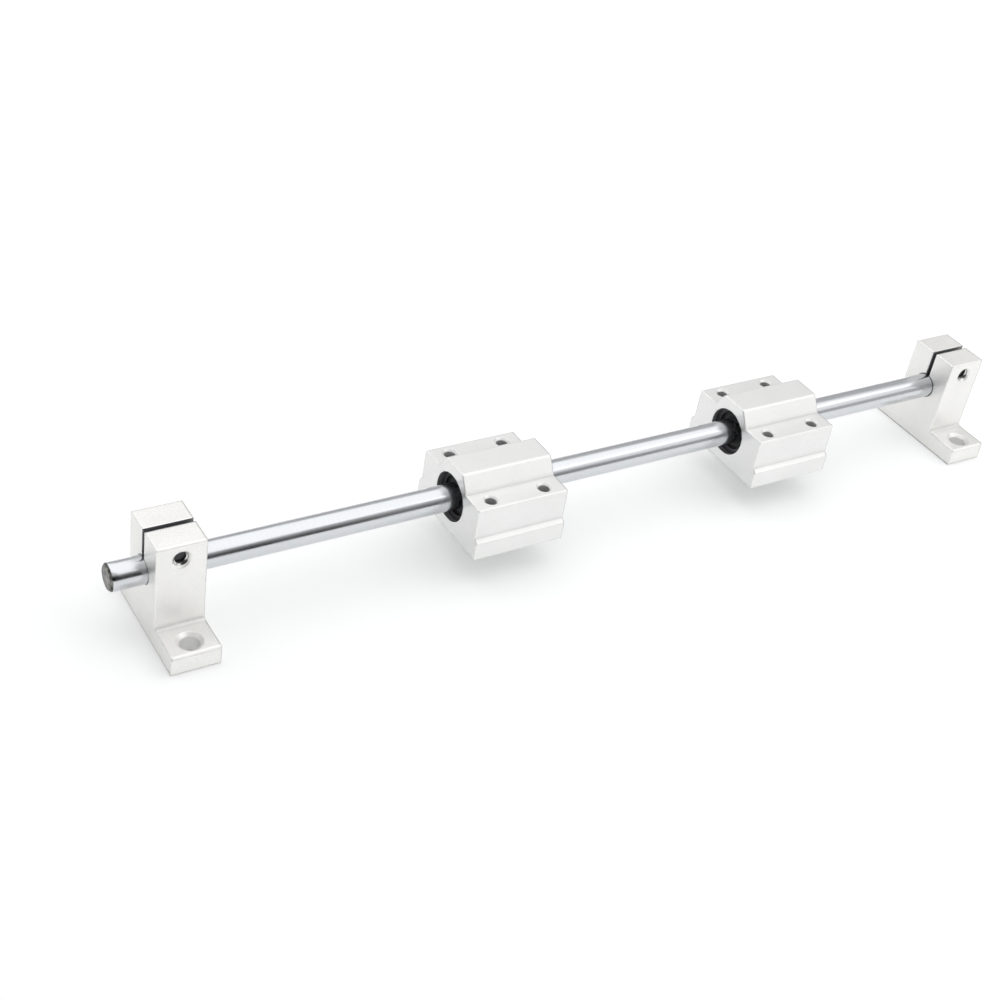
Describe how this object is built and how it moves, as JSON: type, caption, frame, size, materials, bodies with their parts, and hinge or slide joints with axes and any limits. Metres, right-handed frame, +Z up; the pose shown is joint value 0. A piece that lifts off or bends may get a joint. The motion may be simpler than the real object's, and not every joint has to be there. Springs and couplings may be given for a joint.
{
  "type": "linear shaft rail",
  "caption": "Round chromed shaft clamped at its ends in split supports, with humped aluminium bearing blocks that slide along it and swivel about it; feet and block faces take screws.",
  "frame": {"origin": "on the standing plane under the shaft, midway between the free end of the shaft and the outer face of the right support", "axes": "+X along the shaft from its free stub to the right support, +Y across it towards the clamp screws' heads, +Z up"},
  "size_m": [0.3064, 0.042, 0.0328],
  "materials": {
    "hard_chrome": "ground and polished",
    "support_aluminium": "satin, clear anodised",
    "block_aluminium": "satin, clear anodised",
    "black_oxide_steel": "black oxide",
    "phosphated_spring_steel": "black phosphate",
    "bearing_steel": "ground",
    "cage_resin": "moulded",
    "seal_rubber": "moulded"
  },
  "bodies": {
    "rail": {"shaft": "hard_chrome", "support_left": "support_aluminium", "support_right": "support_aluminium", "clamp_screw_left": "black_oxide_steel", "clamp_screw_right": "black_oxide_steel"},
    "bushing_left": {"bearing_sleeve_left": "bearing_steel", "ball_cage_left": "cage_resin", "seal_left_1": "seal_rubber", "seal_left_2": "seal_rubber"},
    "block_left": {"housing_left": "block_aluminium", "circlip_left_1": "phosphated_spring_steel", "circlip_left_2": "phosphated_spring_steel"},
    "bushing_right": {"bearing_sleeve_right": "bearing_steel", "ball_cage_right": "cage_resin", "seal_right_1": "seal_rubber", "seal_right_2": "seal_rubber"},
    "block_right": {"housing_right": "block_aluminium", "circlip_right_1": "phosphated_spring_steel", "circlip_right_2": "phosphated_spring_steel"}
  },
  "joints": [
    {"name": "block_left_slide", "type": "slide", "parent": "rail", "child": "bushing_left", "axis": [1, 0, 0], "range_m": [-0.0783, 0.0359]},
    {"name": "block_left_swivel", "type": "hinge", "parent": "bushing_left", "child": "block_left", "pos_m": [-0.03567, 0, 0.02], "axis": [1, 0, 0], "continuous": true},
    {"name": "block_right_slide", "type": "slide", "parent": "rail", "child": "bushing_right", "axis": [1, 0, 0], "range_m": [-0.0359, 0.0572]},
    {"name": "block_right_swivel", "type": "hinge", "parent": "bushing_right", "child": "block_right", "pos_m": [0.06665, 0, 0.02], "axis": [1, 0, 0], "continuous": true}
  ]
}
